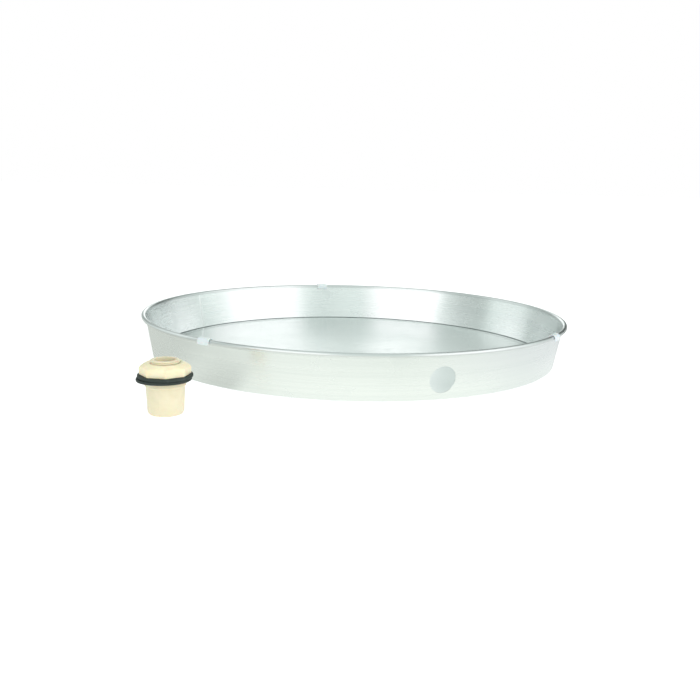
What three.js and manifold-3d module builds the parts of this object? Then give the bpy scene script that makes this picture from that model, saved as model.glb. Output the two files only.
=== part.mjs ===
// A round, shallow drain pan of sheet aluminium with its loose plastic drain fitting, in millimetres, +Z up.
// The origin is the centre of the pan's underside, and the pan's drain hole faces -Y.
import * as THREE from "three";
import { mergeVertices } from "three/addons/utils/BufferGeometryUtils.js";
import Module from "manifold-3d";

// Pan: nominal 24 inches across the floor and 2.5 inches deep.
const RIM_RADIUS = 325;
const PAN_HEIGHT = 63.5;
const FOOT_RADIUS = 308.75;
const SHEET = 0.6;
const BEAD_RADIUS = 3.2;
const BEAD_SWEEP = 310;
const BEAD_STEPS = 9;
const FLANGE_WIDTH = 9.25;
const PAN_SEGMENTS = 80;

// Floor disc: it lies on the ground and steps up over the wall's flange.
const JOGGLE_RISE = 0.85;
const JOGGLE_RUN = 1.8;
const FLANGE_GAP = 0.5;
const CREASE_GAP = 0.65;

// Lap seam that joins the ends of the wall strip, on the inner face.
const SEAM_ANGLE = 128.5;
const SEAM_WIDTH = 9;
const SEAM_THICKNESS = 0.9;
const SEAM_BOTTOM = 2;
const SEAM_TOP = 56.5;

// Drain hole for a fitting with a 1 inch pipe thread.
const HOLE_RADIUS = 17.5;
const HOLE_HEIGHT = 27;
const HOLE_SEGMENTS = 48;

// Saddle clips on the rim.
const CLIP_ANGLES = { rim_clip_left: -146, rim_clip_back: 80.9, rim_clip_right: -51.9 };
const CLIP_LENGTH = 19;
const CLIP_WALL = 1.7;
const CLIP_GAP = 0.35;
const CLIP_LEG_TIP = 56.2;
const CLIP_ARC_STEPS = 10;

// Drain fitting, standing upside down beside the pan on its socket end.
const FITTING_DISTANCE = 431.2;
const FITTING_ANGLE = -139.8;
const FITTING_HEIGHT = 61.8;
const SOCKET_RADIUS = 16.75;
const SOCKET_DEPTH = 25;
const SOCKET_CHAMFER = 0.5;
const BORE_RADIUS = 11.5;
const FOOT_RING_RADIUS = 18.6;
const BARREL_LOW_RADIUS = 20.3;
const BARREL_LOW_HEIGHT = 3.4;
const BARREL_TOP_RADIUS = 21.8;
const BARREL_TOP_HEIGHT = 31.5;
const COLLAR_RADIUS = 23;
const COLLAR_BOTTOM = 32.8;
const COLLAR_TOP = 38.4;
const COLLAR_CHAMFER = 0.6;
const FITTING_SEGMENTS = 48;

// Straight right-hand thread, 11.5 turns to the inch.
const THREAD_PITCH = 25.4 / 11.5;
const THREAD_CREST_RADIUS = 16.7;
const THREAD_DEPTH = 1.35;
const THREAD_FLAT = 0.147;
const THREAD_LEAD = 1.2;
const THREAD_SEGMENTS = 30;
const THREAD_CLEARANCE = 0.4;

// Two rubber washers between the collar and the lock nut; the lower one has slipped to one side.
const GASKET_RADIUS = 31;
const GASKET_BORE_RADIUS = 18.6;
const GASKET_THICKNESS = 3.35;
const GASKET_EDGE = 0.6;
const GASKET_GAP = 0.1;
const GASKET_SLIP = 1.5;
const GASKET_SLIP_ANGLE = 159.5;

// Octagonal lock nut with a chamfered top.
const NUT_SIDES = 8;
const NUT_CORNER_RADIUS = 28.8;
const NUT_CORNER_ANGLE = -96;
const NUT_BOTTOM = 45.5;
const NUT_TOP = 58.4;
const NUT_TOP_FACE_RADIUS = 21;
const NUT_CHAMFER_SLOPE = 30;

const CUT_MARGIN = 1;

const wasm = await Module();
wasm.setup();

const radians = (degrees) => (degrees * Math.PI) / 180;

const polar = (radius, angle) => [radius * Math.cos(radians(angle)), radius * Math.sin(radians(angle))];

// Radius of the wall's outer face at a height; the face is a cone from the foot up to the bead.
function wallRadius(height) {
  const beadHeight = PAN_HEIGHT - BEAD_RADIUS;
  const topRadius = RIM_RADIUS - 2 * BEAD_RADIUS + SHEET;
  return FOOT_RADIUS + ((topRadius - FOOT_RADIUS) * height) / beadHeight;
}

// Turns a profile of [radius, height] pairs about the Z axis; the seam of the turn is at -Y.
function turned(profile, segments) {
  const points = profile.map(([radius, height]) => new THREE.Vector2(radius, height));
  return new THREE.LatheGeometry(points, segments).rotateX(Math.PI / 2);
}

// A closed geometry as a solid that can be joined and cut.
function solid(geometry) {
  const bare = geometry.clone();
  bare.deleteAttribute("normal");
  bare.deleteAttribute("uv");
  const merged = mergeVertices(bare, 1e-4);
  return new wasm.Manifold(
    new wasm.Mesh({
      numProp: 3,
      vertProperties: merged.attributes.position.array,
      triVerts: new Uint32Array(merged.index.array),
    }),
  );
}

function geometryOf(made) {
  const mesh = made.getMesh();
  const geometry = new THREE.BufferGeometry();
  geometry.setAttribute("position", new THREE.BufferAttribute(mesh.vertProperties, 3));
  geometry.setIndex(new THREE.BufferAttribute(mesh.triVerts, 1));
  geometry.computeVertexNormals();
  return geometry;
}

function arc(centre, radius, from, to, steps) {
  return Array.from({ length: steps + 1 }, (_, i) => {
    const [across, up] = polar(radius, from + ((to - from) * i) / steps);
    return [centre[0] + across, centre[1] + up];
  });
}

// The wall strip: a conical band with a flange turned in below and a bead rolled outwards above.
function wallBand() {
  const beadCentre = [RIM_RADIUS - BEAD_RADIUS, PAN_HEIGHT - BEAD_RADIUS];
  const curlEnd = 180 - BEAD_SWEEP;
  const inside = arc(beadCentre, BEAD_RADIUS - SHEET, curlEnd, 180, BEAD_STEPS);
  const outside = arc(beadCentre, BEAD_RADIUS, 180, curlEnd, BEAD_STEPS);
  const flangeRadius = FOOT_RADIUS - FLANGE_WIDTH;
  const innerCorner = [wallRadius(SHEET) - SHEET, SHEET];
  const start = [FOOT_RADIUS, 0];
  const profile = [start, ...inside.reverse(), ...outside.reverse(), innerCorner];
  profile.push([flangeRadius, SHEET], [flangeRadius, 0], start);
  return solid(turned(profile, PAN_SEGMENTS));
}

// The folded ends of the strip, a flat strap that follows the inner face.
function lapSeam() {
  const inner = (height) => [wallRadius(height) - SHEET - SEAM_THICKNESS, height];
  const outer = (height) => [wallRadius(height) - SHEET / 2, height];
  const profile = [outer(SEAM_BOTTOM), outer(SEAM_TOP), inner(SEAM_TOP), inner(SEAM_BOTTOM), outer(SEAM_BOTTOM)];
  const block = new THREE.BoxGeometry(RIM_RADIUS, SEAM_WIDTH, PAN_HEIGHT * 2);
  block.translate(RIM_RADIUS, 0, PAN_HEIGHT / 2).rotateZ(radians(SEAM_ANGLE));
  return solid(turned(profile, PAN_SEGMENTS)).intersect(solid(block));
}

function drainHole() {
  const drill = new THREE.CylinderGeometry(HOLE_RADIUS, HOLE_RADIUS, 2 * BEAD_RADIUS + RIM_RADIUS / 4, HOLE_SEGMENTS);
  return solid(drill.translate(0, -RIM_RADIUS, HOLE_HEIGHT));
}

function panWall() {
  return geometryOf(wallBand().add(lapSeam()).subtract(drainHole()));
}

function panFloor() {
  const edge = wallRadius(SHEET + JOGGLE_RISE) - SHEET - CREASE_GAP;
  const step = FOOT_RADIUS - FLANGE_WIDTH - FLANGE_GAP;
  return turned(
    [
      [0, 0],
      [step - JOGGLE_RUN, 0],
      [step, JOGGLE_RISE],
      [edge, JOGGLE_RISE],
      [edge, JOGGLE_RISE + SHEET],
      [step, JOGGLE_RISE + SHEET],
      [step - JOGGLE_RUN, SHEET],
      [0, SHEET],
    ],
    PAN_SEGMENTS,
  );
}

// A saddle over the bead: a half-round roof and two straight legs, the inner one following the wall.
function rimClip() {
  const beadCentre = [RIM_RADIUS - BEAD_RADIUS, PAN_HEIGHT - BEAD_RADIUS];
  const channel = BEAD_RADIUS + CLIP_GAP;
  const shell = channel + CLIP_WALL;
  const lean = wallRadius(beadCentre[1]) - wallRadius(CLIP_LEG_TIP) + CLIP_GAP / 2;
  const outline = [
    [beadCentre[0] + channel, CLIP_LEG_TIP],
    [beadCentre[0] + shell, CLIP_LEG_TIP],
    ...arc(beadCentre, shell, 0, 180, CLIP_ARC_STEPS),
    [beadCentre[0] - shell - lean, CLIP_LEG_TIP],
    [beadCentre[0] - channel - lean, CLIP_LEG_TIP],
    ...arc(beadCentre, channel, 180, 0, CLIP_ARC_STEPS),
  ];
  const shape = new THREE.Shape(outline.map(([x, y]) => new THREE.Vector2(x, y)));
  const clip = new THREE.ExtrudeGeometry(shape, { depth: CLIP_LENGTH, bevelEnabled: false });
  return clip.translate(0, 0, -CLIP_LENGTH / 2);
}

// Stands a clip's section upright in the radial plane at an angle round the rim.
function placeClip(mesh, angle) {
  const outward = new THREE.Vector3(...polar(1, angle), 0);
  const up = new THREE.Vector3(0, 0, 1);
  const along = new THREE.Vector3().crossVectors(outward, up);
  mesh.quaternion.setFromRotationMatrix(new THREE.Matrix4().makeBasis(outward, up, along));
}

// A rod with a right-hand helical ridge, grown outwards by a clearance. Each row of vertices is one edge
// of the thread's section and climbs one pitch in a turn, where it becomes the row of the next turn.
function threadedRod(bottom, top, clearance) {
  const crest = THREAD_CREST_RADIUS + clearance;
  const root = crest - THREAD_DEPTH;
  const half = THREAD_FLAT / 2;
  const section = [
    [-half, crest],
    [half, crest],
    [0.5 - half, root],
    [0.5 + half, root],
  ];
  const rowsPerTurn = section.length;
  const firstTurn = Math.floor(bottom / THREAD_PITCH) - 1;
  const rows = rowsPerTurn * (Math.ceil((top - bottom) / THREAD_PITCH) + 2);
  const positions = [];
  const index = new Map();
  const place = (row, step) => {
    const [rise, radius] = section[row % rowsPerTurn];
    const turns = firstTurn + Math.floor(row / rowsPerTurn) + rise + step / THREAD_SEGMENTS;
    index.set(row + "," + step, positions.length / 3);
    positions.push(...polar(radius, (360 * step) / THREAD_SEGMENTS), turns * THREAD_PITCH);
  };
  for (let row = 0; row <= rows + rowsPerTurn; row++) place(row, 0);
  for (let row = 0; row <= rows; row++) for (let step = 1; step < THREAD_SEGMENTS; step++) place(row, step);
  const at = (row, step) =>
    step === THREAD_SEGMENTS ? index.get(row + rowsPerTurn + ",0") : index.get(row + "," + step);

  const triangles = [];
  for (let row = 0; row < rows; row++)
    for (let step = 0; step < THREAD_SEGMENTS; step++) {
      const corners = [at(row, step), at(row, step + 1), at(row + 1, step + 1), at(row + 1, step)];
      triangles.push(corners[0], corners[1], corners[2], corners[0], corners[2], corners[3]);
    }
  const cap = (row, facingUp) => {
    const rim = [];
    for (let step = 0; step <= THREAD_SEGMENTS; step++) rim.push(at(row, step));
    for (let above = rowsPerTurn - 1; above > 0; above--) rim.push(at(row + above, 0));
    const centre = positions.length / 3;
    positions.push(0, 0, positions[3 * at(row, 0) + 2]);
    rim.forEach((corner, i) => {
      const next = rim[(i + 1) % rim.length];
      if (facingUp) triangles.push(centre, corner, next);
      else triangles.push(centre, next, corner);
    });
  };
  cap(0, false);
  cap(rows, true);
  const geometry = new THREE.BufferGeometry();
  geometry.setAttribute("position", new THREE.Float32BufferAttribute(positions, 3));
  geometry.setIndex(triangles);
  return solid(geometry);
}

// The barrel and collar of the fitting, solid to the axis.
function barrel() {
  return solid(
    turned(
      [
        [0, 0],
        [FOOT_RING_RADIUS, 0],
        [(FOOT_RING_RADIUS + 2 * BARREL_LOW_RADIUS) / 3, BARREL_LOW_HEIGHT / 3],
        [BARREL_LOW_RADIUS, BARREL_LOW_HEIGHT],
        [BARREL_TOP_RADIUS, BARREL_TOP_HEIGHT],
        [COLLAR_RADIUS, COLLAR_BOTTOM],
        [COLLAR_RADIUS, COLLAR_TOP - COLLAR_CHAMFER],
        [COLLAR_RADIUS - COLLAR_CHAMFER, COLLAR_TOP],
        [0, COLLAR_TOP],
      ],
      FITTING_SEGMENTS,
    ),
  );
}

// The socket for the drain pipe, its shoulder and the water way through the thread.
function waterWay() {
  return solid(
    turned(
      [
        [0, -CUT_MARGIN],
        [SOCKET_RADIUS + SOCKET_CHAMFER + CUT_MARGIN, -CUT_MARGIN],
        [SOCKET_RADIUS, SOCKET_CHAMFER],
        [SOCKET_RADIUS, SOCKET_DEPTH],
        [BORE_RADIUS, SOCKET_DEPTH],
        [BORE_RADIUS, FITTING_HEIGHT + CUT_MARGIN],
        [0, FITTING_HEIGHT + CUT_MARGIN],
      ],
      FITTING_SEGMENTS,
    ),
  );
}

// The thread's envelope: a cylinder from inside the collar to the end, with a lead chamfer.
function threadEnvelope() {
  const wide = THREAD_CREST_RADIUS + CUT_MARGIN;
  const leadRadius = THREAD_CREST_RADIUS - THREAD_LEAD;
  return solid(
    turned(
      [
        [0, COLLAR_TOP - CUT_MARGIN],
        [wide, COLLAR_TOP - CUT_MARGIN],
        [wide, FITTING_HEIGHT - THREAD_LEAD - CUT_MARGIN],
        [leadRadius, FITTING_HEIGHT],
        [0, FITTING_HEIGHT],
      ],
      FITTING_SEGMENTS,
    ),
  );
}

function fittingBody() {
  const thread = threadedRod(COLLAR_TOP - CUT_MARGIN, FITTING_HEIGHT, 0).intersect(threadEnvelope());
  return geometryOf(barrel().add(thread).subtract(waterWay()));
}

// A washer with bevelled edges.
function gasket(bottom) {
  const top = bottom + GASKET_THICKNESS;
  const start = [GASKET_BORE_RADIUS, bottom];
  return turned(
    [
      start,
      [GASKET_RADIUS - GASKET_EDGE, bottom],
      [GASKET_RADIUS, bottom + GASKET_EDGE],
      [GASKET_RADIUS, top - GASKET_EDGE],
      [GASKET_RADIUS - GASKET_EDGE, top],
      [GASKET_BORE_RADIUS, top],
      start,
    ],
    FITTING_SEGMENTS,
  );
}

function octagonBlock() {
  const corners = Array.from({ length: NUT_SIDES }, (_, i) => {
    const corner = polar(NUT_CORNER_RADIUS, NUT_CORNER_ANGLE + (360 * i) / NUT_SIDES);
    return new THREE.Vector2(...corner);
  });
  const block = new THREE.ExtrudeGeometry(new THREE.Shape(corners), {
    depth: NUT_TOP - NUT_BOTTOM,
    bevelEnabled: false,
  });
  return solid(block.translate(0, 0, NUT_BOTTOM));
}

function lockNut() {
  const drop = (NUT_CORNER_RADIUS - NUT_TOP_FACE_RADIUS + CUT_MARGIN) * Math.tan(radians(NUT_CHAMFER_SLOPE));
  const chamfer = turned(
    [
      [0, NUT_BOTTOM - CUT_MARGIN],
      [NUT_CORNER_RADIUS + CUT_MARGIN, NUT_BOTTOM - CUT_MARGIN],
      [NUT_CORNER_RADIUS + CUT_MARGIN, NUT_TOP - drop],
      [NUT_TOP_FACE_RADIUS, NUT_TOP],
      [0, NUT_TOP],
    ],
    FITTING_SEGMENTS,
  );
  const thread = threadedRod(NUT_BOTTOM - CUT_MARGIN, NUT_TOP + CUT_MARGIN, THREAD_CLEARANCE);
  return geometryOf(octagonBlock().intersect(solid(chamfer)).subtract(thread));
}

const material = (color, roughness, metalness) => new THREE.MeshStandardMaterial({ color, roughness, metalness });
const aluminium = material(0xd9dedd, 0.3, 1);
const whitePlastic = material(0xf2f4f6, 0.45, 0);
const creamPlastic = material(0xf3e8c2, 0.4, 0);
const rubber = material(0x2b332f, 0.8, 0);

function named(name, geometry, look) {
  const mesh = new THREE.Mesh(geometry, look);
  mesh.name = name;
  return mesh;
}

const drainPan = new THREE.Group();
drainPan.add(named("pan_wall", panWall(), aluminium));
drainPan.add(named("pan_floor", panFloor(), aluminium.clone()));
for (const [name, angle] of Object.entries(CLIP_ANGLES)) {
  const clip = named(name, rimClip(), whitePlastic.clone());
  placeClip(clip, angle);
  drainPan.add(clip);
}

const fitting = new THREE.Group();
const [fittingX, fittingY] = polar(FITTING_DISTANCE, FITTING_ANGLE);
fitting.position.set(fittingX, fittingY, 0);
fitting.add(named("fitting_body", fittingBody(), creamPlastic));
fitting.add(named("lock_nut", lockNut(), creamPlastic.clone()));
const lowerBottom = COLLAR_TOP + GASKET_GAP;
const lowerGasket = named("gasket_lower", gasket(lowerBottom), rubber);
const [slipX, slipY] = polar(GASKET_SLIP, GASKET_SLIP_ANGLE);
lowerGasket.position.set(slipX, slipY, 0);
fitting.add(lowerGasket);
fitting.add(named("gasket_upper", gasket(lowerBottom + GASKET_THICKNESS + GASKET_GAP), rubber.clone()));
drainPan.add(fitting);

export default drainPan;
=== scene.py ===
"""Looks of a round sheet-metal drain pan and its loose drain fitting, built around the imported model."""

import math

import bpy
import numpy as np
from mathutils import Matrix, Vector


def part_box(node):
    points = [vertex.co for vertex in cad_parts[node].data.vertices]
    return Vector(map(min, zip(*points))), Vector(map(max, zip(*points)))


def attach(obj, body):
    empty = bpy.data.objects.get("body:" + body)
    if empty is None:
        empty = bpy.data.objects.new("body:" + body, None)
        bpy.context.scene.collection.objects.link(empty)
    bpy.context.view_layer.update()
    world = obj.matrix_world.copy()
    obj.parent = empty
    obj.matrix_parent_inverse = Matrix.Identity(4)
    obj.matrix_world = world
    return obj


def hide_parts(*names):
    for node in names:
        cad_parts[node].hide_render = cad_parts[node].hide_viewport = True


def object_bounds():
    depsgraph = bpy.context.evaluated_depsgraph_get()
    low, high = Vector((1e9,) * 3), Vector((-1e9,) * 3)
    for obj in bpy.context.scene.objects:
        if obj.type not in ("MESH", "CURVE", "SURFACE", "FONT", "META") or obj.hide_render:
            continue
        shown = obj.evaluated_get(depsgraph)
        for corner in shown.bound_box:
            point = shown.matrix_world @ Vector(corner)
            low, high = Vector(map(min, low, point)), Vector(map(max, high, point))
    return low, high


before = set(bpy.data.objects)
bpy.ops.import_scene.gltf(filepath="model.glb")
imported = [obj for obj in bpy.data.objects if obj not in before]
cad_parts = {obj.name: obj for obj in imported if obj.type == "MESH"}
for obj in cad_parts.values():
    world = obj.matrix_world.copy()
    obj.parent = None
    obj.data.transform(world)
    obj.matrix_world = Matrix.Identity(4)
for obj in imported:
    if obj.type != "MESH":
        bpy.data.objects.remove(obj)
cad_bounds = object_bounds()

MM = 0.001

# Pan, in metres and degrees. The radius and height of its rim and of its floor come from the frame.
SHEET = 0.6 * MM
BEAD_RADIUS = 3.2 * MM
BEAD_END_ANGLE = -130.0
FLANGE_WIDTH = 9.25 * MM
FOOT_BEND = 1.4 * MM
FLOOR_EDGE_GAP = 1.1 * MM
FLOOR_STEP_GAP = 0.5 * MM
FLOOR_STEP_RUN = 1.8 * MM
WALL_COLUMNS = 720
FIRST_COLUMN_ANGLE = -270.0
HOLE_ANGLE = -90.0
HOLE_RADIUS = 17.5 * MM
HOLE_HEIGHT = 27 * MM
PATCH_CELLS = 16
PATCH_HALF_HEIGHT = 22 * MM
PATCH_RINGS = 5
FLOOR_COLUMNS = 360
GRAIN_MAP = "rolling"
# Height, fade and raggedness of the painted shade line along the bottom of the wall's inner face.
JOINT_LINE_TOP, JOINT_LINE_FADE, JOINT_LINE_RAGGEDNESS = 2.4 * MM, 0.5 * MM, 0.4 * MM
SEAM_ANGLE = -231.5
SEAM_WIDTH = 9 * MM
SEAM_THICKNESS = 0.9 * MM
SEAM_BOTTOM = 2 * MM
SEAM_TOP = 57 * MM

# Sheet metal: how the noise of its rolling lines and of its finer hairlines is stretched along X, Y and Z.
ROLLING_LINES = {
    "rolled_wall": ((0.9, 0.9, 200), (4, 4, 2000)),
    "rolled_floor": ((2, 240, 1), (8, 2200, 1)),
}
METAL_PALE, METAL_MIDDLE = (0.86, 0.88, 0.875), (0.815, 0.84, 0.838)
METAL_CLOUD, METAL_SMUDGE = (0.77, 0.80, 0.80), (0.66, 0.70, 0.70)
# The first: painted shade in the wall's joint with the floor, and the bead's duller metal; the second:
# painted shade at the floor disc's edge.
JOINT_SHADE_AND_DULL_BEAD, FLOOR_EDGE_SHADE = (0.17, 0.20, 0.20), (0.22, 0.25, 0.25)
BEAD_DULLNESS = 0.22
BEAD_DULL_FROM, BEAD_DULL_FULL = 2.2 * MM, 1.2 * MM
MEAN_METAL_NOISE = 0.11

# Plastic and rubber: the light and the dark of their faint clouds.
CLIP_WHITES = ((0.70, 0.75, 0.76), (0.65, 0.70, 0.72))
FITTING_CREAMS = ((0.75, 0.68, 0.50), (0.71, 0.635, 0.45))
NUT_CREAMS = ((0.85, 0.77, 0.55), (0.80, 0.715, 0.485))
RUBBER_BLACKS = ((0.016, 0.024, 0.021), (0.030, 0.042, 0.038))
RUBBER_DUST = (0.055, 0.07, 0.065)
MEAN_PLASTIC_NOISE = 0.14

# Rim clips, in metres. Their places come from the frame.
CLIP_GAP = 0.35 * MM
CLIP_WALL = 1.7 * MM
CLIP_LENGTH = 19 * MM
CLIP_END_BEVEL = 0.5 * MM

# Drain fitting: its pipe thread, bore, socket, collar, nut and washers, in metres and degrees. Heights are
# above the ground.
PITCH = 25.4 / 11.5 * MM
CREST_RADIUS = 16.7 * MM
THREAD_DEPTH = 1.35 * MM
THREAD_FLAT = 0.147
LEAD_RADIUS = 15.5 * MM
ROWS_PER_TURN = 16
TURNED_COLUMNS = 144
BORE_RADIUS = 11.5 * MM
SOCKET_RADIUS = 16.75 * MM
SOCKET_DEPTH = 25 * MM
COLLAR_RADIUS = 23 * MM
COLLAR_BOTTOM = 32.8 * MM
COLLAR_TOP = 38.4 * MM
NUT_CORNER_RADIUS = 28.8 * MM
NUT_CORNER_ANGLE = -96.0
NUT_FACE_RADIUS = 21 * MM
NUT_CHAMFER_SLOPE = 30.0
NUT_CORNER_ROUNDING = 1.3 * MM
NUT_CORNERS = 8
NUT_THREAD_GROWTH = 0.2 * MM
NUT_THREAD_END = 0.35 * MM
GASKET_BORE_RADIUS = 18.6 * MM
GASKET_SAG = 0.8 * MM
GASKET_SAG_ANGLE = 170.0
PARTING_ANGLE = 62.0
PARTING_HEIGHT = 0.09 * MM

# Camera: its bearing from the pan's centre, how far it looks down and leans, in degrees, and its distance.
CAMERA_BEARING = -110.5
CAMERA_TILT = 11.72
CAMERA_ROLL = 1.58
CAMERA_DISTANCE = 3.917 * 0.325
CAMERA_SIDE_STEP = -5 * MM
LENS_MM = 41.14
SENSOR_MM = 36.0

# Studio: how bright it is round the object, by degrees to the right of the camera, at eye height, above it
# and high up, and on the reflector ring that lies round the pan, close to the wall and farther out. A colour
# ramp holds 32 stops and no more. Each START and FULL pair is the sine of a height above the horizon.
EYE_LEVEL = (
    (-180, 1.15), (-177.6, 1.25), (-175.5, 1.7), (-171, 1.75), (-167, 1.1), (-161, 0.45), (-145, 0.45),
    (-137, 0.68), (-120, 0.98), (-110, 0.88), (-95, 1.04), (-89, 0.5), (-72, 0.5), (-60, 0.9),
    (-53, 1.65), (-16, 1.65), (-11, 1.6), (-5, 1.14), (31, 1.07), (41, 1.5), (78, 1.6), (86, 1.22),
    (104, 1.12), (111, 0.82), (135, 0.72), (143, 0.1), (163, 0.1), (171, 0.95), (173.5, 1.1),
    (175.5, 1.7), (177.6, 1.75), (180, 1.15),
)
UPPER_LEVEL = (
    (-180, 0.85), (-176, 1.2), (-171, 1.25), (-167, 0.8), (-161, 0.4), (-145, 0.5), (-137, 0.8),
    (-122, 1.3), (-110, 1.3), (-98, 1.2), (-91, 0.88), (-62, 0.78), (-53, 1.6), (-16, 1.6), (-11, 0.95),
    (15, 0.78), (31, 0.9), (41, 1.7), (80, 1.8), (100, 1.5), (112, 1.12), (138, 0.6), (145, 0.15),
    (163, 0.15), (171, 0.85), (173.5, 0.85), (175, 1.1), (178, 1.15), (180, 0.85),
)
RING_NEAR = (
    (-180, 0.78), (-100, 0.67), (-62, 0.70), (-46, 0.87), (-37, 0.76), (-31.5, 0.75), (-26.5, 1.02),
    (0, 1.13), (30, 1.09), (60, 1.0), (90, 0.92), (106, 0.8), (116, 0.15), (165, 0.15), (175, 0.7),
    (180, 0.78),
)
RING_FAR = (
    (-180, 0.75), (-100, 0.7), (-60, 0.73), (-48, 0.86), (-36, 0.95), (-28, 1.0), (0, 1.0), (30, 0.98),
    (60, 0.92), (90, 0.88), (106, 0.8), (116, 0.12), (165, 0.12), (175, 0.7), (180, 0.75),
)
HIGH_LEVEL = ((-180, 0.24), (-130, 0.38), (-85, 1.0), (85, 1.0), (130, 0.38), (180, 0.24))
UPPER_START, UPPER_FULL = 0.2, 0.4
HIGH_START, HIGH_FULL = 0.66, 0.78
CEILING_START, CEILING_FULL = 0.86, 0.95
CEILING_LEVEL = 0.95
ROOM_TINT = (0.90, 1.0, 0.96)
TINTED_UNTIL, TINT_FADE = 1.1, 0.4
WORLD_STRENGTH = 1.0
GROUND_GLOW = 0.65
GROUND_SIZE = 30.0
GROUND_GREYS = ((0.59, 0.59, 0.59), (0.61, 0.61, 0.61))
RING_COLUMNS = 96
RING_NEAR_REACH, RING_FAR_REACH = 15 * MM, 110 * MM
RING_WARM, RING_ROSE = (1.05, 1.0, 0.965), (1.06, 0.99, 1.03)
RING_WARM_UNTIL, RING_ROSE_FROM = -0.05, 0.4
SOFT_BOX_BEARING, SOFT_BOX_DISTANCE, SOFT_BOX_HEIGHT = 35, 1.6, 1.8
SOFT_BOX_SIZE, SOFT_BOX_WATTS = 1.8, 10


def polar(radius, degrees):
    angle = math.radians(degrees)
    return radius * math.cos(angle), radius * math.sin(angle)


def smooth_step(t):
    t = np.clip(t, 0.0, 1.0)
    return t * t * (3 - 2 * t)


# ---------------------------------------------------------------- camera


def camera_axes():
    """Right, up and backward unit vectors of the camera, and its right before it leans."""
    bearing = math.radians(CAMERA_BEARING)
    tilt = math.radians(CAMERA_TILT)
    roll = math.radians(CAMERA_ROLL)
    outward = Vector((math.cos(bearing), math.sin(bearing), 0))
    level_right = Vector((-math.sin(bearing), math.cos(bearing), 0))
    back = outward * math.cos(tilt) + Vector((0, 0, math.sin(tilt)))
    level_up = back.cross(level_right)
    right = level_right * math.cos(roll) + level_up * math.sin(roll)
    return right, back.cross(right), back, level_right


def make_camera():
    right, up, back, level_right = camera_axes()
    data = bpy.data.cameras.new("photo_camera")
    data.lens = LENS_MM
    data.sensor_width = SENSOR_MM
    data.clip_end = 50
    camera = bpy.data.objects.new("photo_camera", data)
    bpy.context.scene.collection.objects.link(camera)
    stand = Matrix((right, up, back)).transposed().to_4x4()
    stand.translation = back * CAMERA_DISTANCE + level_right * CAMERA_SIDE_STEP
    camera.matrix_world = stand
    bpy.context.scene.camera = camera
    bpy.context.scene.view_settings.view_transform = "Standard"


# ---------------------------------------------------------------- mesh helpers


def make_object(name, vertices, faces, body, node, material, sharp=32.0):
    mesh = bpy.data.meshes.new(name)
    mesh.from_pydata([tuple(v) for v in vertices], [], faces)
    mesh.validate()
    mesh.shade_smooth()
    mesh.set_sharp_from_angle(angle=math.radians(sharp))
    mesh.materials.append(material)
    piece = bpy.data.objects.new(name, mesh)
    bpy.context.scene.collection.objects.link(piece)
    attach(piece, body)
    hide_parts(node)
    return piece


def arc_points(centre, radius, start, end, steps):
    """Points of an arc and their unit directions from its centre, angles in degrees."""
    angles = [start + (end - start) * i / steps for i in range(steps + 1)]
    return [(centre[0] + polar(radius, a)[0], centre[1] + polar(radius, a)[1], *polar(1, a)) for a in angles]


def divided(outline, longest):
    """The outline's points without its last, and more between two that are far apart in radius."""
    points = []
    for a, b in zip(outline, outline[1:]):
        parts = max(1, int(abs(b[0] - a[0]) / longest))
        points += [(a[0] + (b[0] - a[0]) * i / parts, a[1] + (b[1] - a[1]) * i / parts) for i in range(parts)]
    return points


def ring_grid(rows, closed):
    """Quad faces of a grid of rows of equal length. The columns close on themselves; rows do if closed."""
    count = len(rows)
    faces = []
    for i in range(count if closed else count - 1):
        low, high = rows[i], rows[(i + 1) % count]
        for j in range(len(low)):
            k = (j + 1) % len(low)
            faces.append((low[j], low[k], high[k], high[j]))
    return faces


def turned(profile, angles, centre):
    """Vertices and faces of a closed profile turned about an upright axis. A row is (radius, height), or a
    function from an angle in degrees to (radius, height)."""
    vertices, rows = [], []
    for row in profile:
        rows.append(list(range(len(vertices), len(vertices) + len(angles))))
        for angle in angles:
            radius, height = row(angle) if callable(row) else row
            x, y = polar(radius, angle)
            vertices.append((centre[0] + x, centre[1] + y, height))
    return vertices, ring_grid(rows, True)


def rounded(points, radii, steps=4):
    """A closed outline with each corner rounded to its radius."""
    outline = []
    count = len(points)
    for i, corner in enumerate(points):
        radius = radii[i]
        corner = np.array(corner, float)
        if radius <= 0:
            outline.append(tuple(corner))
            continue
        before = np.array(points[i - 1], float) - corner
        after = np.array(points[(i + 1) % count], float) - corner
        before /= np.linalg.norm(before)
        after /= np.linalg.norm(after)
        half = math.acos(max(-1.0, min(1.0, float(before @ after)))) / 2
        reach = radius / math.tan(half)
        centre = corner + (before + after) / np.linalg.norm(before + after) * radius / math.sin(half)
        start = corner + before * reach - centre
        end = corner + after * reach - centre
        turn = math.atan2(start[0] * end[1] - start[1] * end[0], float(start @ end))
        for s in range(steps + 1):
            c, q = math.cos(turn * s / steps), math.sin(turn * s / steps)
            turned_start = np.array((c * start[0] - q * start[1], q * start[0] + c * start[1]))
            outline.append(tuple(centre + turned_start))
    return outline


# ---------------------------------------------------------------- materials


def node(tree, kind, inputs=None, **attributes):
    """A new shader node of a kind, with its attributes set and its inputs set or linked."""
    made = tree.nodes.new(kind)
    for name, value in attributes.items():
        setattr(made, name, value)
    for name, value in (inputs or {}).items():
        if isinstance(value, bpy.types.NodeSocket):
            tree.links.new(value, made.inputs[name])
        else:
            made.inputs[name].default_value = value
    return made


def place(tree, stretch):
    """A point's place in its own object, in metres, stretched along each axis."""
    where = node(tree, "ShaderNodeTexCoord").outputs["Object"]
    return node(tree, "ShaderNodeMapping", {"Vector": where, "Scale": stretch}).outputs["Vector"]


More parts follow.
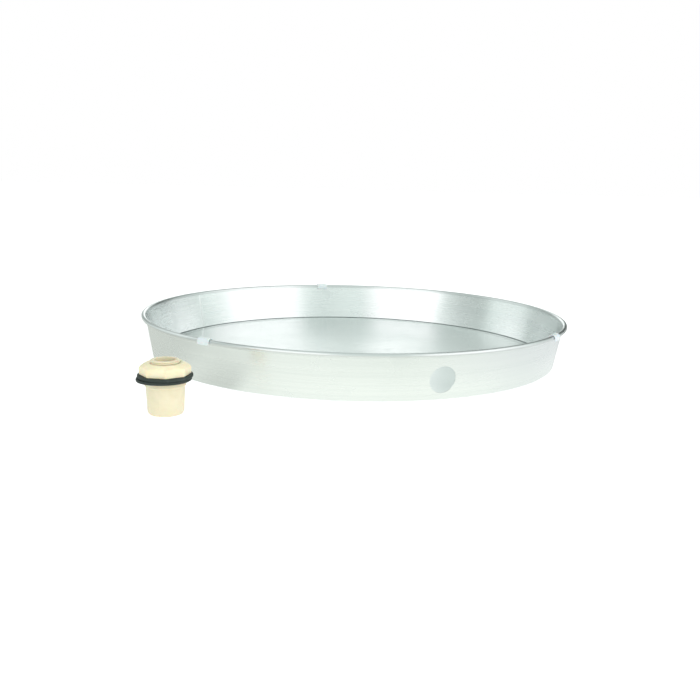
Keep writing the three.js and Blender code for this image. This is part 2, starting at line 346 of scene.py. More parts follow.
def noise(tree, vector, scale=1.0, detail=4.0, roughness=0.5, distortion=0.0):
    """Noise between 0 and 1, mostly near the middle."""
    inputs = {"Vector": vector, "Scale": scale, "Detail": detail, "Roughness": roughness}
    return node(tree, "ShaderNodeTexNoise", {**inputs, "Distortion": distortion}).outputs["Fac"]


def spread(tree, value, low, high, start=0.0, end=1.0):
    """The value's range from low to high, stretched smoothly over start to end."""
    inputs = {"Value": value, "From Min": low, "From Max": high, "To Min": start, "To Max": end}
    made = node(tree, "ShaderNodeMapRange", inputs, interpolation_type="SMOOTHSTEP")
    return made.outputs["Result"]


def blend_colours(tree, share, first, second):
    made = node(tree, "ShaderNodeMix", {"Factor": share}, data_type="RGBA")
    for socket, value in ((made.inputs[6], first), (made.inputs[7], second)):
        if isinstance(value, bpy.types.NodeSocket):
            tree.links.new(value, socket)
        else:
            socket.default_value = (*value, 1.0)
    return made.outputs[2]


def arithmetic(tree, operation, *values):
    return node(tree, "ShaderNodeMath", dict(enumerate(values)), operation=operation).outputs[0]


def sums(tree, *terms):
    """The sum of (value, weight) pairs."""
    total = None
    for value, weight in terms:
        term = arithmetic(tree, "MULTIPLY", value, weight)
        total = term if total is None else arithmetic(tree, "ADD", total, term)
    return total


def new_material(name, **constants):
    """A material whose shader has its constant sockets set. Returns it, its node tree and its shader."""
    material = bpy.data.materials.new(name)
    material.use_nodes = True
    tree = material.node_tree
    shader = tree.nodes["Principled BSDF"]
    for socket, value in constants.items():
        shader.inputs[socket.replace("_", " ")].default_value = value
    return material, tree, shader


def finish_shader(tree, shader, colour, roughness, height, bump_depth, strength=1.0):
    """Links the colour, the roughness and a bump from a height to the shader."""
    inputs = {"Height": height, "Distance": bump_depth, "Strength": strength}
    bump = node(tree, "ShaderNodeBump", inputs)
    tree.links.new(colour, shader.inputs["Base Color"])
    tree.links.new(roughness, shader.inputs["Roughness"])
    tree.links.new(bump.outputs["Normal"], shader.inputs["Normal"])


def sheet_metal(name, tangent, turn, anisotropy, roughness, dull_and_shade):
    """Mill-finish aluminium: rolling lines, cloudy handling marks, and darker metal where the last argument's
    mask says.
    """
    constants = {"Metallic": 1.0, "Anisotropic": anisotropy, "Anisotropic_Rotation": turn}
    material, tree, shader = new_material(name, **constants)
    lines_place, hair_place = ROLLING_LINES[name]
    lines = noise(tree, place(tree, lines_place), 1.0, 5.0, 0.62)
    hair = noise(tree, place(tree, hair_place), 1.0, 3.0, 0.6)
    everywhere = place(tree, (1, 1, 1))
    clouds = noise(tree, everywhere, 9.0, 4.0, 0.55)
    smudges = spread(tree, noise(tree, everywhere, 26.0, 5.0, 0.55), 0.58, 0.72)
    clean = blend_colours(tree, spread(tree, lines, 0.3, 0.7), METAL_MIDDLE, METAL_PALE)
    cloudy = blend_colours(tree, spread(tree, clouds, 0.35, 0.7, 0.0, 0.25), clean, METAL_CLOUD)
    handled = blend_colours(tree, sums(tree, (smudges, 0.12)), cloudy, METAL_SMUDGE)
    # Painted shade in the joint of wall and floor, and duller metal on the bead, blended in as one darker
    # colour.
    dull_and_shade_mask, dull_and_shade_colour = dull_and_shade(tree)
    colour = blend_colours(tree, dull_and_shade_mask, handled, dull_and_shade_colour)
    rough = sums(tree, (lines, 0.08), (clouds, 0.10), (hair, 0.04), (smudges, 0.04), (dull_and_shade_mask, 0.15))
    rough = arithmetic(tree, "ADD", rough, roughness - MEAN_METAL_NOISE)
    height = sums(tree, (lines, 0.8), (hair, 0.1), (clouds, 0.5))
    finish_shader(tree, shader, colour, rough, height, 0.2 * MM, 0.15)
    tree.links.new(tangent(tree), shader.inputs["Tangent"])
    return material


def wall_joint_shade_and_bead_dullness(tree):
    """Painted shade: a dark band in the inner face's joint with the floor; and duller metal where the bead is
    rolled.
    """
    coordinates = node(tree, "ShaderNodeTexCoord").outputs
    up = node(tree, "ShaderNodeSeparateXYZ", {"Vector": coordinates["Object"]}).outputs["Z"]
    facing = node(tree, "ShaderNodeVectorMath", {0: coordinates["Object"], 1: coordinates["Normal"]},
                  operation="DOT_PRODUCT").outputs["Value"]
    inside = spread(tree, facing, 0.02, -0.02)
    uneven = noise(tree, place(tree, (1, 1, 1)), 60.0, 3.0, 0.6)
    ragged = sums(tree, (uneven, JOINT_LINE_RAGGEDNESS), (up, 1.0))
    # Painted shade: darker below the joint line's top, on the inner face only.
    joint = spread(tree, ragged, JOINT_LINE_TOP + JOINT_LINE_FADE, JOINT_LINE_TOP)
    joint = arithmetic(tree, "MULTIPLY", joint, inside)
    middle = BEAD_CENTRE[1]
    bead = spread(tree, up, middle - BEAD_DULL_FROM, middle - BEAD_DULL_FULL, 0.0, BEAD_DULLNESS)
    return arithmetic(tree, "MAXIMUM", joint, bead), JOINT_SHADE_AND_DULL_BEAD


def floor_edge_shade(tree):
    """Painted shade at the edge of the disc, where it meets the wall."""
    where = place(tree, (1, 1, 0))
    radius = node(tree, "ShaderNodeVectorMath", {0: where}, operation="LENGTH").outputs["Value"]
    return spread(tree, radius, floor_high.x - 3 * MM, floor_high.x - 0.4 * MM, 0.0, 0.6), FLOOR_EDGE_SHADE


def wall_metal():
    """Its rolling lines run round the wall, and its gloss stretches up and down it."""
    def tangent(tree):
        return node(tree, "ShaderNodeTangent", direction_type="RADIAL", axis="Z").outputs[0]
    return sheet_metal("rolled_wall", tangent, 0.25, 0.8, 0.27, wall_joint_shade_and_bead_dullness)


def floor_metal():
    """Its rolling lines run straight along X, and its gloss stretches along U of the floor's map."""
    def tangent(tree):
        return node(tree, "ShaderNodeTangent", direction_type="UV_MAP", uv_map=GRAIN_MAP).outputs[0]
    return sheet_metal("rolled_floor", tangent, 0.0, 0.9, 0.22, floor_edge_shade)


def moulded_plastic(name, light, dark, roughness, **constants):
    """Moulded plastic: an orange-peel skin, faint flow clouds and specks, and a duller skin where handled."""
    material, tree, shader = new_material(name, **constants)
    everywhere = place(tree, (1, 1, 1))
    clouds = noise(tree, everywhere, 70.0, 3.0, 0.5, 0.8)
    skin = noise(tree, everywhere, 1400.0, 2.0, 0.5)
    handling = noise(tree, everywhere, 230.0, 4.0, 0.6, 0.4)
    specks = spread(tree, noise(tree, everywhere, 2600.0, 1.0, 0.4), 0.74, 0.8)
    colour = blend_colours(tree, spread(tree, clouds, 0.3, 0.75), light, dark)
    colour = blend_colours(tree, sums(tree, (specks, 0.3)), colour, tuple(c * 0.6 for c in dark))
    rough = sums(tree, (handling, 0.22), (skin, 0.06))
    rough = arithmetic(tree, "ADD", rough, roughness - MEAN_PLASTIC_NOISE)
    finish_shader(tree, shader, colour, rough, sums(tree, (skin, 0.35), (handling, 0.65)), 0.06 * MM, 0.6)
    return material


def clip_plastic():
    return moulded_plastic("white_moulding", *CLIP_WHITES, 0.42,
                           Subsurface_Weight=0.15, Subsurface_Scale=1.5 * MM)


def fitting_plastic():
    return moulded_plastic("cream_moulding", *FITTING_CREAMS, 0.38,
                           Subsurface_Weight=0.25, Subsurface_Scale=2.5 * MM)


def nut_plastic():
    return moulded_plastic("cream_nut", *NUT_CREAMS, 0.40, Subsurface_Weight=0.25, Subsurface_Scale=2.5 * MM)


def gasket_rubber():
    """Moulded rubber: a dull grainy skin with a bloom of pale dust."""
    material, tree, shader = new_material("black_rubber", Specular_IOR_Level=0.35)
    everywhere = place(tree, (1, 1, 1))
    grain = noise(tree, everywhere, 1800.0, 3.0, 0.6)
    patches = noise(tree, everywhere, 110.0, 4.0, 0.6, 0.5)
    bloom = spread(tree, patches, 0.5, 0.75, 0.0, 0.6)
    colour = blend_colours(tree, spread(tree, grain, 0.3, 0.7), *RUBBER_BLACKS)
    colour = blend_colours(tree, bloom, colour, RUBBER_DUST)
    rough = arithmetic(tree, "ADD", sums(tree, (grain, 0.25), (patches, 0.3)), 0.38)
    finish_shader(tree, shader, colour, rough, sums(tree, (grain, 0.6), (patches, 0.4)), 0.08 * MM, 0.6)
    return material


# ---------------------------------------------------------------- pan wall

wall_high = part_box("pan_wall")[1]
floor_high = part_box("pan_floor")[1]
RIM_RADIUS = wall_high.x
PAN_HEIGHT = wall_high.z
FOOT_RADIUS = floor_high.x + FLOOR_EDGE_GAP
BEAD_CENTRE = (RIM_RADIUS - BEAD_RADIUS, PAN_HEIGHT - BEAD_RADIUS)


def wall_slope():
    """The wall's lean from upright, so that its outer face meets the inside of the bead's curl."""
    across, up = BEAD_CENTRE[0] - FOOT_RADIUS, BEAD_CENTRE[1]
    return math.acos((BEAD_RADIUS - SHEET) / math.hypot(across, up)) - math.atan2(up, across)


LEAN = wall_slope()


def wall_middle(height):
    """Radius of the middle of the wall sheet at a height, on its straight part."""
    return FOOT_RADIUS + height * math.tan(LEAN) - SHEET / 2 / math.cos(LEAN)


def wall_path():
    """Rows (radius, height, outward radius, outward height) of the sheet's middle, from flange to curl."""
    lean = math.degrees(LEAN)
    foot = (FOOT_RADIUS - FOOT_BEND * (1 - math.sin(LEAN)) / math.cos(LEAN), FOOT_BEND)
    flange_edge = FOOT_RADIUS - FLANGE_WIDTH
    rows = [(flange_edge + (foot[0] - flange_edge) * i / 4, SHEET / 2, 0.0, -1.0) for i in range(4)]
    rows += arc_points(foot, FOOT_BEND - SHEET / 2, -90, -lean, 6)
    patch_low = HOLE_HEIGHT - PATCH_HALF_HEIGHT
    patch_step = 2 * PATCH_HALF_HEIGHT / PATCH_CELLS
    first_patch_row = len(rows) + 1
    heights = [(rows[-1][1] + patch_low) / 2]
    heights += [patch_low + patch_step * i for i in range(PATCH_CELLS + 1)]
    curl = arc_points(BEAD_CENTRE, BEAD_RADIUS - SHEET / 2, 180 - lean, BEAD_END_ANGLE, 26)
    top = curl[0][1]
    last = heights[-1]
    heights += [last + (top - last) * i / 5 for i in range(1, 5)]
    rows += [(wall_middle(h), h, math.cos(LEAN), -math.sin(LEAN)) for h in heights]
    rows += [(r, z, -nr, -nz) for r, z, nr, nz in curl]
    return rows, first_patch_row


def wall_columns():
    """Angles of the wall's columns in degrees: even steps, and closer ones at the edges of the lap seam."""
    step = 360 / WALL_COLUMNS
    half = math.degrees(SEAM_WIDTH / 2 / RIM_RADIUS)
    shares = (0.0, 0.25, 0.5, 0.75, 0.84, 0.9, 0.94, 0.98, 1.02, 1.06, 1.12)
    closer = {SEAM_ANGLE + side * half * share for side in (-1, 1) for share in shares}
    even = [FIRST_COLUMN_ANGLE + step * i for i in range(WALL_COLUMNS)]
    return sorted(closer.union(a for a in even if min(abs(a - c) for c in closer) > step / 6))


def seam_rise(angle, height):
    """How far the lap seam stands out of the wall's inner face."""
    offset = abs(angle - SEAM_ANGLE) / math.degrees(SEAM_WIDTH / 2 / RIM_RADIUS)
    if offset > 1.2:
        return 0.0
    across = smooth_step((1.04 - offset) / 0.12)
    along = smooth_step((height - SEAM_BOTTOM) / MM) * smooth_step((SEAM_TOP - height) / (1.5 * MM))
    return SEAM_THICKNESS * float(across * along)


def sheet_wave(angle, height):
    """The slight unevenness of rolled sheet, none at the stiff foot and bead."""
    a = math.radians(angle)
    share = height / PAN_HEIGHT
    amount = math.sin(math.pi * min(1.0, max(0.0, share))) ** 0.5 if share > 0 else 0.0
    wave = math.sin(9 * a + 0.7) * 0.10 + math.sin(17 * a + 2.1 + 2 * share) * 0.055
    wave += math.sin(31 * a + 4.0 - 3 * share) * 0.022 + math.sin(53 * a + 1.3 + 5 * share) * 0.008
    return wave * amount * MM


def wall_vertex(angle, row, side):
    """A vertex of the sheet's outer face, side +1, or its inner face, side -1."""
    radius, height, out_r, out_z = row
    rise = seam_rise(angle, height) if side < 0 else 0.0
    away = side * SHEET / 2 - rise
    r = radius + away * out_r + sheet_wave(angle, height)
    x, y = polar(r, angle)
    return x, y, height + away * out_z


def hole_patch(vertices, boundary, side, angle_step):
    """Rings from the square gap in the grid to the round hole. Returns the faces and the hole's own ring."""
    rings, faces = [boundary], []
    count = len(boundary)
    corner_turn = -3 * math.pi / 4
    half_angle = PATCH_CELLS / 2 * angle_step
    centre_radius = wall_middle(HOLE_HEIGHT)
    for ring in range(1, PATCH_RINGS + 1):
        share = 1 - (1 - ring / PATCH_RINGS) ** 1.5
        row = []
        for i in range(count):
            turn = corner_turn + 2 * math.pi * i / count
            edge, along = divmod(i, PATCH_CELLS)
            t = 2 * along / PATCH_CELLS - 1
            square = [(t, -1), (1, t), (-t, 1), (-1, -t)][edge]
            u = square[0] * half_angle * (1 - share)
            v = square[1] * PATCH_HALF_HEIGHT * (1 - share)
            u += math.degrees(math.cos(turn) * HOLE_RADIUS / centre_radius) * share
            v += math.sin(turn) * HOLE_RADIUS * share
            height = HOLE_HEIGHT + v
            on_wall = (wall_middle(height), height, math.cos(LEAN), -math.sin(LEAN))
            row.append(len(vertices))
            vertices.append(wall_vertex(HOLE_ANGLE + u, on_wall, side))
        rings.append(row)
    for low, high in zip(rings, rings[1:]):
        for i in range(count):
            k = (i + 1) % count
            faces.append((low[i], low[k], high[k], high[i]))
    return faces, rings[-1]


def make_pan_wall():
    path, patch_row = wall_path()
    angles = wall_columns()
    step = 360 / WALL_COLUMNS
    count = len(angles)
    patch_angle = HOLE_ANGLE - PATCH_CELLS / 2 * step
    first = min(range(count), key=lambda i: abs(angles[i] - patch_angle))
    last, top = first + PATCH_CELLS, patch_row + PATCH_CELLS
    vertices, faces, sides, holes = [], [], {}, {}
    for side in (1, -1):
        rows = []
        for row in path:
            rows.append(list(range(len(vertices), len(vertices) + count)))
            vertices.extend(wall_vertex(a, row, side) for a in angles)
        sides[side] = rows
        for i in range(len(rows) - 1):
            for j in range(count):
                if patch_row <= i < top and first <= j < last:
                    continue
                k = (j + 1) % count
                faces.append((rows[i][j], rows[i][k], rows[i + 1][k], rows[i + 1][j])[::side])
        boundary = [rows[patch_row][j] for j in range(first, last)]
        boundary += [rows[i][last] for i in range(patch_row, top)]
        boundary += [rows[top][j] for j in range(last, first, -1)]
        boundary += [rows[i][first] for i in range(top, patch_row, -1)]
        patch, holes[side] = hole_patch(vertices, boundary, side, step)
        faces += [f[::side] for f in patch]
    for a, b in ((sides[1][0], sides[-1][0]), (sides[-1][-1], sides[1][-1]), (holes[-1], holes[1])):
        faces += [(a[k], a[j], b[j], b[k]) for j in range(len(a)) for k in [(j + 1) % len(a)]]
    make_object("wall_sheet", vertices, faces, "pan", "pan_wall", wall_metal())


# ---------------------------------------------------------------- pan floor


def floor_wave(x, y):
    """The slight dishing of a flat sheet, always upwards from the ground."""
    wave = math.sin(13 * x + 4 * y + 0.5) * math.sin(10 * y - 5 * x + 1.9)
    wave += 0.4 * math.sin(31 * x - 12 * y + 2.2) * math.sin(27 * y + 9 * x)
    return 0.09 * MM * (1.4 + wave)


def make_pan_floor():
    edge = floor_high.x
    step_out = FOOT_RADIUS - FLANGE_WIDTH - FLOOR_STEP_GAP
    rise = floor_high.z - SHEET
    flat = step_out - FLOOR_STEP_RUN
    upper = [(0.0, SHEET), (flat, SHEET), (step_out, rise + SHEET), (edge, rise + SHEET)]
    lower = [(edge, rise), (step_out, rise), (flat, 0.0), (0.0, 0.0)]
    radii = [0, 1.6 * MM, 1.0 * MM, 0.28 * MM, 0.1 * MM, 1.6 * MM, 1.0 * MM, 0]
    outline = rounded(upper + lower, radii)
    vertices, rows = [], []
    for radius, height in divided(outline, 9 * MM)[1:]:
        row = []
        for j in range(FLOOR_COLUMNS):
            x, y = polar(radius, 360 * j / FLOOR_COLUMNS)
            wave = floor_wave(x, y) * (1 - float(smooth_step((radius - 0.8 * flat) / (0.2 * flat))))
            row.append(len(vertices))
            vertices.append((x, y, height + wave))
        rows.append(row)
    faces = [f[::-1] for f in ring_grid(rows, False)]
    for row, height, up in ((rows[0], SHEET, True), (rows[-1], 0.0, False)):
        hub = len(vertices)
        vertices.append((0, 0, height + floor_wave(0, 0)))
        for j in range(FLOOR_COLUMNS):
            k = (j + 1) % FLOOR_COLUMNS
            faces.append((hub, row[j], row[k]) if up else (hub, row[k], row[j]))
    piece = make_object("floor_sheet", vertices, faces, "pan", "pan_floor", floor_metal())
    map_grain(piece)


def map_grain(piece):
    """A map whose U runs towards the camera's side, which is about across the sheet's rolling lines."""
    across = np.array(polar(1.0, CAMERA_BEARING))
    along = np.array((-across[1], across[0]))
    mesh = piece.data
    layer = mesh.uv_layers.new(name=GRAIN_MAP)
    for loop in mesh.loops:
        point = np.array(mesh.vertices[loop.vertex_index].co[:2])
        layer.data[loop.index].uv = (float(point @ across), float(point @ along))


# ---------------------------------------------------------------- rim clips


def clip_outline():
    """Section of a saddle clip: a half-round roof over the bead, and two legs, the inner one leaning."""
    channel = BEAD_RADIUS + CLIP_GAP
    shell = channel + CLIP_WALL
    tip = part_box("rim_clip_back")[0].z
    middle = BEAD_CENTRE[0]
    lean = (BEAD_CENTRE[1] - tip) * math.tan(LEAN) + CLIP_GAP / 2
    roof = [p[:2] for p in arc_points(BEAD_CENTRE, shell, 0, 180, 20)]
    hollow = [p[:2] for p in arc_points(BEAD_CENTRE, channel, 180, 0, 20)]
    outer_leg = [(middle + channel, tip), (middle + shell, tip)]
    inner_leg = [(middle - shell - lean, tip), (middle - channel - lean, tip)]
    tip_radii = [0.5 * MM, 0.8 * MM]
    radii = tip_radii + [0] * len(roof) + tip_radii[::-1] + [0] * len(hollow)
    return rounded(outer_leg + roof + inner_leg + hollow, radii)


def outward_normals(outline):
    """Unit normals of a counter-clockwise outline at its points."""
    points = np.array(outline)
    ahead = np.roll(points, -1, axis=0) - np.roll(points, 1, axis=0)
    normals = np.stack((ahead[:, 1], -ahead[:, 0]), axis=1)
    return normals / np.linalg.norm(normals, axis=1)[:, None]


def make_clip(side):
    """A saddle clip bent to the rim's curve, with its ends rounded over."""
    low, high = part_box("rim_clip_" + side)
    middle = math.degrees(math.atan2(low.y + high.y, low.x + high.x))
    outline = clip_outline()
    normals = outward_normals(outline)
    half = CLIP_LENGTH / 2
    ends = [(1 - x, 1 - y) for x, y in (polar(1, 15 * i) for i in range(7))]
    slices = [(-half + CLIP_END_BEVEL * along, CLIP_END_BEVEL * inset) for along, inset in ends]
    slices += [(half * t, 0.0) for t in (-0.6, -0.2)]
    slices += [(-along, inset) for along, inset in slices[::-1]]
    vertices, rows = [], []
    for along, inset in slices:
        rows.append(list(range(len(vertices), len(vertices) + len(outline))))
        angle = middle + math.degrees(along / BEAD_CENTRE[0])
        for (radius, height), (across, up) in zip(outline, normals):
            vertices.append((*polar(radius - across * inset, angle), height - up * inset))
    faces = [f[::-1] for f in ring_grid(rows, False)] + [tuple(rows[0]), tuple(rows[-1][::-1])]
    make_object("clip_" + side + "_saddle", vertices, faces, "clip_" + side, "rim_clip_" + side,
                clip_plastic(), sharp=40)


# ---------------------------------------------------------------- drain fitting

fitting_low, fitting_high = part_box("fitting_body")
nut_low, nut_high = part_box("lock_nut")
FITTING_CENTRE = ((fitting_low.x + fitting_high.x) / 2, (fitting_low.y + fitting_high.y) / 2)
FITTING_TOP = fitting_high.z


def angles_beside(close, gap):
    """Even angles round a turned piece, and the close ones in place of those nearer to them than the gap."""
    even = [360 * i / TURNED_COLUMNS for i in range(TURNED_COLUMNS)]
    return sorted(close + [a for a in even if all(abs(a - c) > gap for c in close)])


def thread_radius(height, angle, growth=0.0):
    """Radius of the right-hand thread at a height and an angle; its crests and roots are rounded."""
    turns = height / PITCH - angle / 360
    from_crest = abs(turns - round(turns))
    slope = (from_crest - THREAD_FLAT / 2) / (0.5 - THREAD_FLAT)
    rounded_slope = float(smooth_step(slope)) * 0.45 + min(1.0, max(0.0, slope)) * 0.55
    return CREST_RADIUS + growth - THREAD_DEPTH * rounded_slope


def male_thread_row(height):
    """One row of the thread, whose end is tapered for an easy start."""
    def at(angle):
        lead = LEAD_RADIUS + (FITTING_TOP - height)
        return min(thread_radius(height, angle), lead), height
    return at


def thread_heights(low, high):
    count = int(round((high - low) / PITCH * ROWS_PER_TURN))
    return [low + (high - low) * i / count for i in range(count + 1)]


def parting_line(radius, height):
    """A barrel row with the faint ridges that the mould's two halves leave."""
    def at(angle):
        off = min(abs(angle - PARTING_ANGLE), abs(angle - PARTING_ANGLE - 180))
        return radius + PARTING_HEIGHT * math.exp(-(off / 0.45) ** 2), height
    return at


def barrel_profile():
    """Outer rows of the socket barrel and the collar, from the foot up."""
    points = [
        (SOCKET_RADIUS + 0.5 * MM, 0.0),
        (18.6 * MM, 0.0),
        (19.4 * MM, 0.9 * MM),
        (20.3 * MM, 3.4 * MM),
        (21.8 * MM, 31.5 * MM),
        (COLLAR_RADIUS, COLLAR_BOTTOM),
        (COLLAR_RADIUS, COLLAR_TOP),
        (CREST_RADIUS - THREAD_DEPTH + 0.6 * MM, COLLAR_TOP),
    ]
    radii = [0, 0.5 * MM, 1.2 * MM, 6 * MM, 1.0 * MM, 0.5 * MM, 0.6 * MM, 0]
    return rounded(points, radii, 5)


def make_fitting_body():
    outer = [parting_line(r, z) for r, z in barrel_profile()[1:]]
    heights = thread_heights(COLLAR_TOP, FITTING_TOP - 0.2 * MM)
    thread = [male_thread_row(z) for z in heights[1:]]
    edge = 0.4 * MM
    inner = [(LEAD_RADIUS - 0.05 * MM, FITTING_TOP - 0.06 * MM), (LEAD_RADIUS - 0.3 * MM, FITTING_TOP)]
    inner += [(BORE_RADIUS + edge, FITTING_TOP), (BORE_RADIUS + edge * 0.3, FITTING_TOP - edge * 0.3)]
    bore_top = FITTING_TOP - edge
    inner += [(BORE_RADIUS, bore_top)]
    inner += [(BORE_RADIUS, bore_top - (bore_top - SOCKET_DEPTH) * i / 8) for i in range(1, 8)]
    inner += [(BORE_RADIUS, SOCKET_DEPTH + edge / 2), (BORE_RADIUS + edge / 2, SOCKET_DEPTH)]
    inner += [(SOCKET_RADIUS - edge, SOCKET_DEPTH), (SOCKET_RADIUS, SOCKET_DEPTH - edge)]
    inner += [(SOCKET_RADIUS, SOCKET_DEPTH * t) for t in (0.75, 0.5, 0.25)]
    inner += [(SOCKET_RADIUS, 0.6 * MM), (SOCKET_RADIUS + 0.5 * MM, 0.0)]
    close = [PARTING_ANGLE + turn + step for turn in (0, 180) for step in (-0.9, -0.45, 0, 0.45, 0.9)]
    vertices, faces = turned(outer + thread + inner, angles_beside(close, 0.8), FITTING_CENTRE)
    make_object("fitting_moulding", vertices, faces, "fitting", "fitting_body", fitting_plastic(), sharp=40)


def octagon_radius(angle):
    """Distance from the axis to the nut's side at an angle, with the corners rounded."""
    half = 180 / NUT_CORNERS
    off = math.radians(abs((angle - NUT_CORNER_ANGLE + half) % (2 * half) - half))
    flat = NUT_CORNER_RADIUS * math.cos(math.radians(half))
    reach = (flat - NUT_CORNER_ROUNDING) / math.cos(math.radians(half))
    turn = math.atan2(NUT_CORNER_ROUNDING * math.sin(math.radians(half)),
                      reach + NUT_CORNER_ROUNDING * math.cos(math.radians(half)))
    if off < turn:
        return reach * math.cos(off) + math.sqrt(NUT_CORNER_ROUNDING**2 - (reach * math.sin(off)) ** 2)
    return flat / math.cos(math.radians(half) - off)


def nut_column(angle):
    """The nut's section at an angle: out along its underside, up, in over the chamfer, down the thread."""
    side = octagon_radius(angle)
    drop = (side - NUT_FACE_RADIUS) * math.tan(math.radians(NUT_CHAMFER_SLOPE))
    mouth = CREST_RADIUS + NUT_THREAD_GROWTH + NUT_THREAD_END
    corners = [(mouth, nut_low.z), (side, nut_low.z), (side, nut_high.z - drop)]
    corners += [(NUT_FACE_RADIUS, nut_high.z), (mouth, nut_high.z)]
    outline = rounded(corners, [0, 0.5 * MM, 3.2 * MM, 2.0 * MM, 0], 6)
    outline += [(mouth - 0.25 * MM, nut_high.z - 0.12 * MM)]
    heights = thread_heights(nut_low.z + NUT_THREAD_END, nut_high.z - NUT_THREAD_END)
    for height in reversed(heights):
        from_end = min(height - nut_low.z, nut_high.z - height)
        opened = CREST_RADIUS + NUT_THREAD_GROWTH - max(0.0, from_end - NUT_THREAD_END)
        outline.append((max(thread_radius(height, angle, NUT_THREAD_GROWTH), opened), height))
    return outline + [(mouth - 0.25 * MM, nut_low.z + 0.12 * MM)]


def nut_angles():
    """Even columns, with closer ones where the corners are rounded."""
    corners = [(NUT_CORNER_ANGLE + 360 / NUT_CORNERS * i) % 360 for i in range(NUT_CORNERS)]
    close = [c + step for c in corners for step in (-1.1, -0.75, -0.38, 0, 0.38, 0.75, 1.1)]
    return angles_beside(close, 0.9)


def make_lock_nut():
    columns = {angle: nut_column(angle) for angle in nut_angles()}
    count = len(next(iter(columns.values())))
    profile = [lambda angle, i=i: columns[angle][i] for i in range(count)]
    vertices, faces = turned(profile, list(columns), FITTING_CENTRE)
    make_object("nut_moulding", vertices, faces, "nut", "lock_nut", nut_plastic(), sharp=40)


def sagging(radius, height, amount):
    """A washer row that hangs down on one side where the collar no longer carries it."""
    free = float(smooth_step((radius - COLLAR_RADIUS - 1 * MM) / (6 * MM)))
    def at(angle):
        side = max(0.0, math.cos(math.radians(angle - GASKET_SAG_ANGLE)))
        ripple = 0.05 * MM * math.sin(math.radians(3 * angle + 20)) * free
        return radius + 0.3 * ripple, height - amount * free * side**3 + ripple * (1 if amount else 0)
    return at


def make_gasket(name, node, body, sag):
    """A rubber washer whose outer edge bulges a little under the nut's squeeze, and which may sag."""
    low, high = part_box(node)
    centre = ((low.x + high.x) / 2, (low.y + high.y) / 2)
    outer = (high.x - low.x) / 2
    corners = [(GASKET_BORE_RADIUS, low.z), (outer - 0.35 * MM, low.z), (outer, (low.z + high.z) / 2)]
    corners += [(outer - 0.35 * MM, high.z), (GASKET_BORE_RADIUS, high.z)]
    outline = rounded(corners, [0.3 * MM, 1.0 * MM, 2.5 * MM, 1.0 * MM, 0.3 * MM], 6)
    points = divided(outline + outline[:1], 1.2 * MM)
    vertices, faces = turned([sagging(r, z, sag) for r, z in points], angles_beside([], 0.0), centre)
    make_object(name, vertices, faces, body, node, gasket_rubber(), sharp=40)


# ---------------------------------------------------------------- studio


def make_ground():
    """A plain pale floor."""
    corners = [(-GROUND_SIZE, -GROUND_SIZE), (GROUND_SIZE, -GROUND_SIZE), (GROUND_SIZE, GROUND_SIZE),
               (-GROUND_SIZE, GROUND_SIZE)]
    mesh = bpy.data.meshes.new("ground")
    mesh.from_pydata([(x, y, cad_bounds[0][2] - 0.3 * MM) for x, y in corners], [], [(0, 1, 2, 3)])
    material, tree, shader = new_material("ground_paper", Specular_IOR_Level=0.0)
    tone = noise(tree, place(tree, (1, 1, 1)), 3.0, 2.0, 0.5)
    colour = blend_colours(tree, tone, *GROUND_GREYS)
    finish_shader(tree, shader, colour, spread(tree, tone, 0.0, 1.0, 0.85, 0.95), tone, 0.1 * MM)
    shader.inputs["Emission Color"].default_value = (1, 1, 1, 1)
    shader.inputs["Emission Strength"].default_value = GROUND_GLOW
    mesh.materials.append(material)
    ground = bpy.data.objects.new("ground", mesh)
    bpy.context.scene.collection.objects.link(ground)


def tinted(level):
    """The light at a level: white where it is bright, and slightly green where only the room lights it."""
    share = min(1.0, max(0.0, (level - TINTED_UNTIL) / TINT_FADE))
    return tuple(level * (tint + (1 - tint) * share) for tint in ROOM_TINT)


def by_azimuth(tree, vector, stops):
    """The colour at a direction's azimuth, from (degrees to the right of the camera, level) pairs."""
    turn = (0.0, 0.0, -math.radians(CAMERA_BEARING))
    faced = node(tree, "ShaderNodeMapping", {"Vector": vector, "Rotation": turn}).outputs["Vector"]
    parts = node(tree, "ShaderNodeSeparateXYZ", {"Vector": faced}).outputs
    angle = arithmetic(tree, "ARCTAN2", parts["Y"], parts["X"])
    share = arithmetic(tree, "MULTIPLY_ADD", angle, 0.5 / math.pi, 0.5)
    ramp = node(tree, "ShaderNodeValToRGB", {"Fac": share})
    elements = ramp.color_ramp.elements
    elements.remove(elements[1])
    for i, (degrees, level) in enumerate(stops):
        stop = elements[0] if i == 0 else elements.new(degrees / 360 + 0.5)
        stop.position = degrees / 360 + 0.5
        stop.color = (*tinted(level), 1.0)
    return ramp.outputs["Color"]


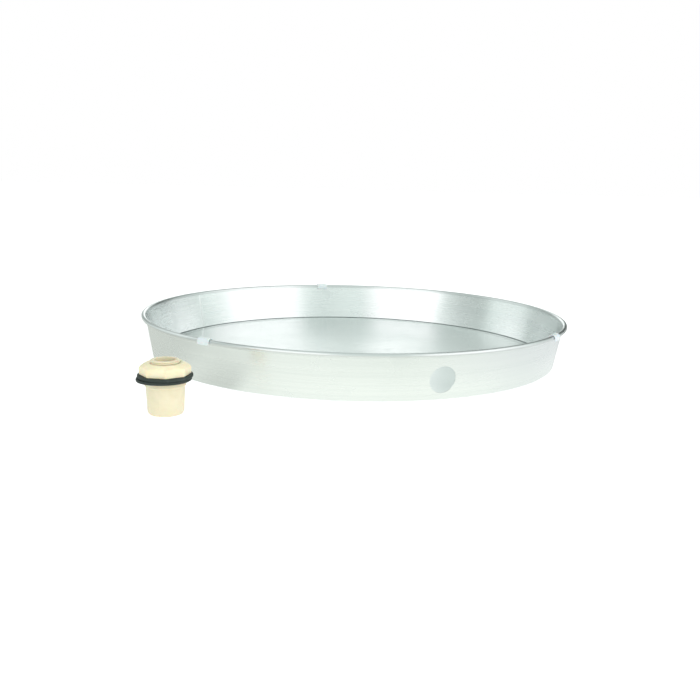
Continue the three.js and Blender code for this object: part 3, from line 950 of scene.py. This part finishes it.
def make_world():
    """Soft light from all round, brighter and dimmer as the room's boards stand, and white to the camera."""
    world = bpy.data.worlds.new("studio")
    bpy.context.scene.world = world
    world.use_nodes = True
    tree = world.node_tree
    tree.nodes.clear()
    direction = node(tree, "ShaderNodeTexCoord").outputs["Generated"]
    rise = node(tree, "ShaderNodeSeparateXYZ", {"Vector": direction}).outputs["Z"]
    eye_level = by_azimuth(tree, direction, EYE_LEVEL)
    upper_level = by_azimuth(tree, direction, UPPER_LEVEL)
    walls = blend_colours(tree, spread(tree, rise, UPPER_START, UPPER_FULL), eye_level, upper_level)
    high_level = by_azimuth(tree, direction, HIGH_LEVEL)
    sky = blend_colours(tree, spread(tree, rise, HIGH_START, HIGH_FULL), walls, high_level)
    overhead = spread(tree, rise, CEILING_START, CEILING_FULL)
    colour = blend_colours(tree, overhead, sky, tinted(CEILING_LEVEL))
    lit = node(tree, "ShaderNodeBackground", {"Color": colour, "Strength": WORLD_STRENGTH})
    backdrop = node(tree, "ShaderNodeBackground", {"Color": (1, 1, 1, 1), "Strength": 1.0})
    seen = node(tree, "ShaderNodeLightPath").outputs["Is Camera Ray"]
    shader = node(tree, "ShaderNodeMixShader", {0: seen, 1: lit.outputs[0], 2: backdrop.outputs[0]})
    out = node(tree, "ShaderNodeOutputWorld")
    tree.links.new(shader.outputs[0], out.inputs["Surface"])


def make_reflector_ring():
    """A soft white ring lying round the pan, which only glossy reflections see."""
    height = cad_bounds[0].z - 0.1 * MM
    angles = [360 * j / RING_COLUMNS for j in range(RING_COLUMNS)]
    vertices = [(*polar(r, a), height) for r in (FOOT_RADIUS + 1 * MM, 3 * FOOT_RADIUS) for a in angles]
    rows = [list(range(RING_COLUMNS)), list(range(RING_COLUMNS, 2 * RING_COLUMNS))]
    mesh = bpy.data.meshes.new("reflector_ring")
    mesh.from_pydata(vertices, [], ring_grid(rows, False))
    material = bpy.data.materials.new("reflector_card")
    material.use_nodes = True
    tree = material.node_tree
    tree.nodes.clear()
    where = place(tree, (1, 1, 1))
    distance = node(tree, "ShaderNodeVectorMath", {0: where}, operation="LENGTH").outputs["Value"]
    out_share = spread(tree, distance, FOOT_RADIUS + RING_NEAR_REACH, FOOT_RADIUS + RING_FAR_REACH)
    near, far = by_azimuth(tree, where, RING_NEAR), by_azimuth(tree, where, RING_FAR)
    along = node(tree, "ShaderNodeSeparateXYZ", {"Vector": where}).outputs["X"]
    rosy = spread(tree, along, RING_WARM_UNTIL, RING_ROSE_FROM)
    hue = blend_colours(tree, rosy, RING_WARM, RING_ROSE)
    colour = node(tree, "ShaderNodeVectorMath", {0: blend_colours(tree, out_share, near, far), 1: hue},
                  operation="MULTIPLY").outputs["Vector"]
    glow = node(tree, "ShaderNodeEmission", {"Color": colour})
    out = node(tree, "ShaderNodeOutputMaterial")
    tree.links.new(glow.outputs[0], out.inputs["Surface"])
    mesh.materials.append(material)
    ring = bpy.data.objects.new("reflector_ring", mesh)
    bpy.context.scene.collection.objects.link(ring)
    ring.visible_camera = ring.visible_diffuse = ring.visible_transmission = ring.visible_shadow = False


def make_soft_box():
    """A square soft light turned to the pan's middle, which the metal doesn't mirror."""
    light = bpy.data.lights.new("key", "AREA")
    light.shape = "SQUARE"
    light.size = SOFT_BOX_SIZE
    light.energy = SOFT_BOX_WATTS
    lamp = bpy.data.objects.new("key", light)
    bpy.context.scene.collection.objects.link(lamp)
    spot = Vector((*polar(SOFT_BOX_DISTANCE, CAMERA_BEARING + SOFT_BOX_BEARING), SOFT_BOX_HEIGHT))
    lamp.visible_glossy = False
    lamp.matrix_world = Matrix.Translation(spot) @ (-spot).to_track_quat("-Z", "Y").to_matrix().to_4x4()


make_camera()
make_ground()
make_world()
make_reflector_ring()
make_soft_box()

make_pan_wall()
make_pan_floor()
for side in ("left", "back", "right"):
    make_clip(side)
make_fitting_body()
make_lock_nut()
make_gasket("washer_lower", "gasket_lower", "lower_washer", GASKET_SAG)
make_gasket("washer_upper", "gasket_upper", "upper_washer", 0.0)
